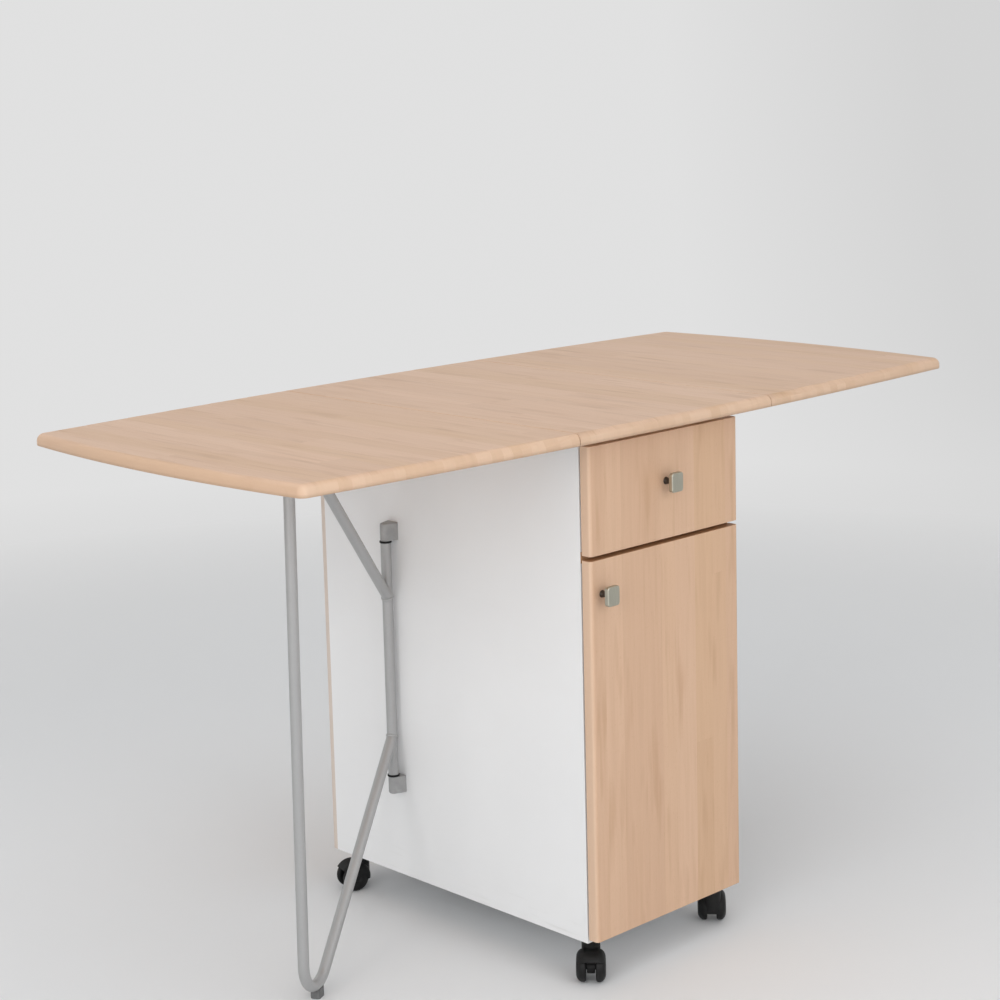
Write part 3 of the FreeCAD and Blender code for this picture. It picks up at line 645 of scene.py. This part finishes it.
def paper_foil():
    """Matt white foil with a faint linen weave."""
    material, tree, shader = finish("white_foil")
    place = put(tree, "ShaderNodeTexCoord").outputs["Object"]
    weave = put(tree, "ShaderNodeTexChecker", {"Vector": place, "Scale": weave_repeats}).outputs["Fac"]
    clouds = noise(tree, foil_clouds)
    colour = blend(tree, span(tree, clouds, *cloud_range), foil_deep, foil_light)
    coat(tree, shader, colour, clouds, foil_rough)
    relief(tree, shader, weave, weave_depth)
    return material


foil = paper_foil()
for node in ("drawer_left_side", "drawer_right_side", "drawer_back", "drawer_bottom"):
    softened(node, drawer_edge_round, foil)
for node in ("left_drawer_channel", "right_drawer_channel", "drawer_left_rail", "drawer_right_rail"):
    dress(node, zinc)
side_face = box("drawer_right_side")[1].x
back_line = middle("drawer_back").y
screws = [((x * side_face, back_line, z), (x, 0.0, 0.0)) for x in sides for z in drawer_screw_heights]
seated("drawer_screws", "drawer", zinc, screw, screws, drawer_screw_radius, drawer_screw_rise)


# Door hinges and shelf pins
# Steel butt hinges let into the right side panel's edge and the door's back, two screws to a leaf;
# steel pins in the side panels carry the shelf.

door_hinge_half_length = 0.025
door_screw_reach = 0.015
door_screw_radius = 0.0030
door_screw_rise = 0.0004

hinges_low, hinges_high = box("door_hinge_frame_leaves")
hinge_heights = (hinges_low.z + door_hinge_half_length, hinges_high.z - door_hinge_half_length)
for node in ("shelf_pins", "door_hinge_frame_leaves", "door_hinge_door_leaves"):
    dress(node, zinc)
for body, face, way in (("cabinet", panel_low.y, -1.0), ("door", front_inside, 1.0)):
    screws = []
    for height in hinge_heights:
        for step in sides:
            screws.append(((panel_line, face, height + step * door_screw_reach), (0.0, way, 0.0)))
    name = "door_hinge_screws_" + body
    seated(name, body, zinc, screw, screws, door_screw_radius, door_screw_rise)


# Gate legs
# Steel tube bent to a loop, welded to a pivot tube and painted silver. The pivot turns on pins in two
# moulded lugs, with a black collar at each end; a moulded glide meets the floor and a pad the leaf.

silver_light = (0.460, 0.460, 0.460, 1.0)
silver_deep = (0.375, 0.375, 0.375, 1.0)
silver_metal = 0.35
silver_rough = (0.30, 0.44)
silver_clouds = 60.0
fleck_repeats = 2600.0
fleck_range = (0.1, 0.7)
peel_grain = 420.0
peel_depth = 0.00003
grey_light = (0.37, 0.37, 0.37, 1.0)
grey_deep = (0.30, 0.30, 0.30, 1.0)
grey_rough = (0.42, 0.62)
plug_light = (0.17, 0.17, 0.17, 1.0)
plug_deep = (0.12, 0.12, 0.12, 1.0)
plug_rough = (0.47, 0.67)
black_light = (0.013, 0.013, 0.013, 1.0)
black_deep = (0.006, 0.006, 0.006, 1.0)
black_rough = (0.42, 0.62)
black_gloss = 0.25
wear_clouds = 70.0
wear_range = (0.35, 0.7)
moulded_gloss_clouds = 30.0
spark_grain = 1900.0
spark_depth = 0.00003
lug_round = 0.0036
lug_height = 0.025
lug_gap = 0.0003
tube_radius = 0.0075
lower_tail = 0.059
upper_tail = 0.081
lower_slope = math.radians(42.7)
upper_slope = math.radians(44.5)
weld_steps = 44
weld_radius = 0.0017
collar_height = 0.0029
collar_from_end = 0.0001
collar_inside = 0.0074
collar_outside = 0.0087
collar_round = 0.0004
collar_steps = 40
crease_angle = math.radians(40)
head_reach = 0.271
stop_aside = 0.0163
stop_screw_step = 0.010


def silver_paint():
    """Silver paint with a fine metal fleck and a slight orange peel."""
    material, tree, shader = finish("silver_paint", silver_metal)
    fleck = cells(tree, fleck_repeats)
    colour = blend(tree, span(tree, fleck, *fleck_range), silver_light, silver_deep)
    coat(tree, shader, colour, noise(tree, silver_clouds), silver_rough)
    relief(tree, shader, noise(tree, peel_grain, detail=2.0), peel_depth)
    return material


def moulded(name, light, deep, roughness, gloss=0.5):
    """Moulded plastic with a fine spark-eroded grain and slight handling wear."""
    material, tree, shader = finish(name)
    shader.inputs["Specular IOR Level"].default_value = gloss
    colour = blend(tree, span(tree, noise(tree, wear_clouds, detail=5.0), *wear_range), deep, light)
    coat(tree, shader, colour, noise(tree, moulded_gloss_clouds), roughness)
    relief(tree, shader, noise(tree, spark_grain, detail=2.0), spark_depth)
    return material


def weld_drop():
    """The pattern of one ripple of a weld, a small ball of few faces, one unit in radius."""
    shape = bmesh.new()
    bmesh.ops.create_uvsphere(shape, u_segments=8, v_segments=6, radius=1.0)
    mesh = bpy.data.meshes.new("weld_drop")
    shape.to_mesh(mesh)
    shape.free()
    mesh.shade_smooth()
    return bpy.data.objects.new("weld_drop", mesh)


def weld_line(way):
    """Points along the lines where the loop's two ends meet the pivot tube."""
    welds = ((pivot_low + lower_tail, -1.0, lower_slope), (pivot_high - upper_tail, 1.0, upper_slope))
    spots = []
    for height, rise, slope in welds:
        for step in range(weld_steps):
            turn = 2 * math.pi * step / weld_steps
            cos = math.cos(turn)
            reach = (abs(cos) + cos * math.sin(slope)) / math.cos(slope)
            lift = rise * tube_radius * (reach * math.sin(slope) + cos * math.cos(slope))
            out = way * leg_way * tube_radius * abs(cos)
            facing = out - way * leg_aside * tube_radius * math.sin(turn)
            spots.append((way * pivot + facing + Vector((0.0, 0.0, height + lift)), facing))
    return spots


def collars(name, way):
    """Black collars round the two ends of a pivot tube."""
    outline = [(0.0, collar_inside), (0.0, collar_outside - collar_round), (collar_round, collar_outside)]
    outline += [(collar_height - lift, radius) for lift, radius in reversed(outline)]
    shape = bmesh.new()
    for foot in (pivot_low + collar_from_end, pivot_high - collar_from_end - collar_height):
        centre = way * pivot + Vector((0.0, 0.0, foot))
        ring = [shape.verts.new(centre + Vector((radius, 0.0, lift))) for lift, radius in outline]
        edges = [shape.edges.new(pair) for pair in zip(ring, ring[1:] + ring[:1])]
        whole_turn = {"axis": (0, 0, 1), "cent": centre, "angle": 2 * math.pi, "steps": collar_steps}
        bmesh.ops.spin(shape, geom=ring + edges, use_merge=True, **whole_turn)
    bmesh.ops.remove_doubles(shape, verts=shape.verts, dist=merge_distance)
    bmesh.ops.recalc_face_normals(shape, faces=shape.faces)
    mesh = bpy.data.meshes.new(name)
    shape.to_mesh(mesh)
    shape.free()
    mesh.shade_smooth()
    mesh.set_sharp_from_angle(angle=crease_angle)
    mesh.materials.append(black_moulding)
    piece = bpy.data.objects.new(name, mesh)
    bpy.context.scene.collection.objects.link(piece)
    return piece


pivot_low = box("right_leg_lower_bracket")[0].z + lug_height + lug_gap
pivot_high = box("right_leg_upper_bracket")[1].z - lug_height - lug_gap
pivot = Vector((box("right_leg_lower_bracket")[1].x - tube_radius, -bracket_line, 0.0))
leg_way = ((middle("right_leg_glide") - pivot) * Vector((1.0, 1.0, 0.0))).normalized()
leg_aside = Vector((leg_way.y, -leg_way.x, 0.0))
stop_middle = pivot + head_reach * leg_way + stop_aside * leg_aside
stop_face = Vector((0.0, 0.0, box("right_leg_stop")[0].z))
silver = silver_paint()
grey_moulding = moulded("grey_moulding", grey_light, grey_deep, grey_rough)
plug_moulding = moulded("plug_moulding", plug_light, plug_deep, plug_rough)
black_moulding = moulded("black_moulding", black_light, black_deep, black_rough, black_gloss)
drop = weld_drop()
for side, way in zip(("left", "right"), sides):
    leg = side + "_gate_leg"
    dress(side + "_leg_frame", silver)
    for level in ("upper", "lower"):
        softened(side + "_leg_" + level + "_bracket", lug_round, grey_moulding)
    dress(side + "_leg_glide", plug_moulding)
    for piece_name in ("rest_pad", "stop"):
        dress(side + "_leg_" + piece_name, black_moulding)
    screws = [(way * stop_middle + step * stop_screw_step * leg_way + stop_face, down) for step in sides]
    name = side + "_stop_screws"
    leaf = side + "_drop_leaf"
    seated(name, leaf, zinc, screw, screws, hinge_screw_radius, hinge_screw_rise)
    seated(side + "_leg_welds", leg, silver, drop, weld_line(way), weld_radius, weld_radius)
    pair = collars(side + "_leg_washers", way)
    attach(pair, leg)


# Castors
# Twin-wheel furniture castors moulded in black nylon, on a zinc plate under each corner.
# The domed hood covers both wheels and turns on the plate's pin.

for corner in ("front_left", "front_right", "rear_left", "rear_right"):
    dress(corner + "_castor_plate", zinc)
    for piece_name in ("hood", "left_wheel", "right_wheel"):
        dress(corner + "_castor_" + piece_name, black_moulding)


# Door catch
# A magnet in a black moulded case under the divider, with two steel poles that hold a small steel
# plate, which one screw keeps on the door's inside.

catch_line = -0.100
catch_half = 0.018
catch_depth = 0.0122
catch_height = 0.014
catch_round = 0.0012
pole_half = 0.0145
pole_ahead = 0.0004
pole_depth = 0.0066
pole_thick = 0.0016
pole_drops = (0.0108, 0.0052)
keeper_half = 0.013
keeper_half_height = 0.006
keeper_thick = 0.0009
plate_round = 0.0003

catch_low = (catch_line - catch_half, strip_face, divider_low.z - catch_height)
catch_high = (catch_line + catch_half, strip_face + catch_depth, divider_low.z)
catch = slab("door_catch", catch_low, catch_high, catch_round, black_moulding)
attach(catch, "cabinet")
for row, lowered in enumerate(pole_drops):
    pole_low = Vector((catch_line - pole_half, strip_face - pole_ahead, divider_low.z - lowered))
    pole_high = pole_low + Vector((2 * pole_half, pole_depth, pole_thick))
    pole = slab("door_catch_pole_%d" % row, pole_low, pole_high, plate_round, zinc)
    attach(pole, "cabinet")
keeper_middle = Vector((catch_line, front_inside, divider_low.z - catch_height / 2))
keeper_low = keeper_middle - Vector((keeper_half, 0.0, keeper_half_height))
keeper_high = keeper_middle + Vector((keeper_half, keeper_thick, keeper_half_height))
keeper = slab("door_catch_plate", keeper_low, keeper_high, plate_round, zinc)
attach(keeper, "door")
heads = [(keeper_middle + Vector((0.0, keeper_thick, 0.0)), to_back)]
seated("door_catch_screw", "door", zinc, screw, heads, door_screw_radius, door_screw_rise)
for pattern in (drop, screw):
    bpy.data.objects.remove(pattern)


# Studio
# A pale seamless bowl for floor and backdrop, soft light from all sides and the camera at the
# photograph's angle.

bowl_rings = (0.0, 1.5, 3.0)
bowl_flat = 4.6
bowl_bend = 2.2
bowl_wall = 2.6
bowl_steps = 96
bend_steps = 16
bowl_merge = 1e-5
floor_grey = (0.792, 0.800, 0.808, 1.0)
floor_rough = 0.9
floor_gloss = 0.1
far_grey = (0.66, 0.66, 0.66, 1.0)
wall_grey = (0.750, 0.750, 0.750, 1.0)
wall_range = (2.0, 3.4)
fade_range = (0.9, 2.4)
floor_ends = (1.3, 2.8)
overhead_lamp = {"where": (-0.4, -0.6, 3.9), "aim": (0.0, 0.0, 0.4), "size": 4.0, "power": 29.0}
left_lamp = {"where": (-3.7, -1.4, 1.7), "aim": (0.0, 0.0, 0.45), "size": 2.8, "power": 58.0}
front_lamp = {"where": (-0.5, -3.9, 1.6), "aim": (0.0, 0.0, 0.4), "size": 2.8, "power": 43.0}
air_white = (1.0, 1.0, 1.0, 1.0)
air_strength = 0.64
eye = Vector((-2.1171, -2.1348, 1.2226))
yaw = math.radians(42.686)
pitch = math.radians(9.088)
roll = math.radians(1.710)
image_width = 1000.0
focal_length = 2180.25
lens_centre = (442.0, 400.6)


def studio_bowl():
    """A round floor that takes the shadow and curves up into a paler backdrop, dimmer to the right."""
    outline = [(radius, 0.0) for radius in bowl_rings]
    for step in range(bend_steps + 1):
        angle = math.pi / 2 * step / bend_steps
        outline.append((bowl_flat + bowl_bend * math.sin(angle), bowl_bend * (1 - math.cos(angle))))
    outline.append((bowl_flat + bowl_bend, bowl_bend + bowl_wall))
    shape = bmesh.new()
    points = [shape.verts.new((radius, 0.0, height)) for radius, height in outline]
    edges = [shape.edges.new(pair) for pair in zip(points, points[1:])]
    whole_turn = {"axis": (0, 0, 1), "cent": (0, 0, 0), "angle": 2 * math.pi, "steps": bowl_steps}
    bmesh.ops.spin(shape, geom=points + edges, **whole_turn)
    bmesh.ops.remove_doubles(shape, verts=shape.verts, dist=bowl_merge)
    bmesh.ops.recalc_face_normals(shape, faces=shape.faces)
    mesh = bpy.data.meshes.new("studio_bowl")
    shape.to_mesh(mesh)
    shape.free()
    mesh.shade_smooth()
    bowl = bpy.data.objects.new("studio_bowl", mesh)
    bpy.context.scene.collection.objects.link(bowl)
    material, tree, shader = finish("studio_paper")
    shader.inputs["Base Color"].default_value = floor_grey
    shader.inputs["Roughness"].default_value = floor_rough
    shader.inputs["Specular IOR Level"].default_value = floor_gloss
    place = put(tree, "ShaderNodeTexCoord").outputs["Object"]
    distance = put(tree, "ShaderNodeVectorMath", {0: place}, operation="LENGTH").outputs["Value"]
    at = own(tree)
    aside = span(tree, sum_up(tree, "SUBTRACT", at["X"], at["Y"]), *fade_range, 1.0, 0.0)
    lit = sum_up(tree, "MULTIPLY", aside, span(tree, distance, *wall_range))
    shade = blend(tree, lit, far_grey, wall_grey)
    backdrop = put(tree, "ShaderNodeEmission", {"Color": shade}).outputs[0]
    ray = put(tree, "ShaderNodeLightPath").outputs
    mirrored = sum_up(tree, "MAXIMUM", ray["Is Glossy Ray"], ray["Is Transmission Ray"])
    seen = sum_up(tree, "MAXIMUM", ray["Is Camera Ray"], mirrored)
    far = sum_up(tree, "MULTIPLY", seen, span(tree, distance, *floor_ends))
    paper = put(tree, "ShaderNodeMixShader", {0: far, 1: shader.outputs[0], 2: backdrop}).outputs[0]
    tree.links.new(paper, tree.nodes["Material Output"].inputs["Surface"])
    mesh.materials.append(material)


def soft_light(name, where, aim, size, power):
    """A large square lamp turned to a point."""
    lamp = bpy.data.lights.new(name, "AREA")
    lamp.shape = "SQUARE"
    lamp.size = size
    lamp.energy = power
    holder = bpy.data.objects.new(name, lamp)
    holder.location = where
    holder.rotation_euler = (Vector(aim) - Vector(where)).to_track_quat("-Z", "Y").to_euler()
    bpy.context.scene.collection.objects.link(holder)


studio_bowl()
soft_light("overhead", **overhead_lamp)
soft_light("window_left", **left_lamp)
soft_light("window_front", **front_lamp)
world = bpy.data.worlds.new("studio_air")
world.use_nodes = True
air = world.node_tree.nodes["Background"].inputs
air["Color"].default_value = air_white
air["Strength"].default_value = air_strength
bpy.context.scene.world = world

forward = Vector((math.sin(yaw) * math.cos(pitch), math.cos(yaw) * math.cos(pitch), -math.sin(pitch)))
level_right = Vector((math.cos(yaw), -math.sin(yaw), 0.0))
level_down = forward.cross(level_right)
picture_right = math.cos(roll) * level_right + math.sin(roll) * level_down
picture_down = math.cos(roll) * level_down - math.sin(roll) * level_right
camera_data = bpy.data.cameras.new("camera")
camera_data.lens = focal_length / image_width * camera_data.sensor_width
camera_data.shift_x = 0.5 - lens_centre[0] / image_width
camera_data.shift_y = lens_centre[1] / image_width - 0.5
camera = bpy.data.objects.new("camera", camera_data)
turn = Matrix((picture_right, -picture_down, -forward)).transposed()
camera.matrix_world = Matrix.Translation(eye) @ turn.to_4x4()
bpy.context.scene.collection.objects.link(camera)
bpy.context.scene.camera = camera
bpy.context.scene.view_settings.view_transform = "Standard"
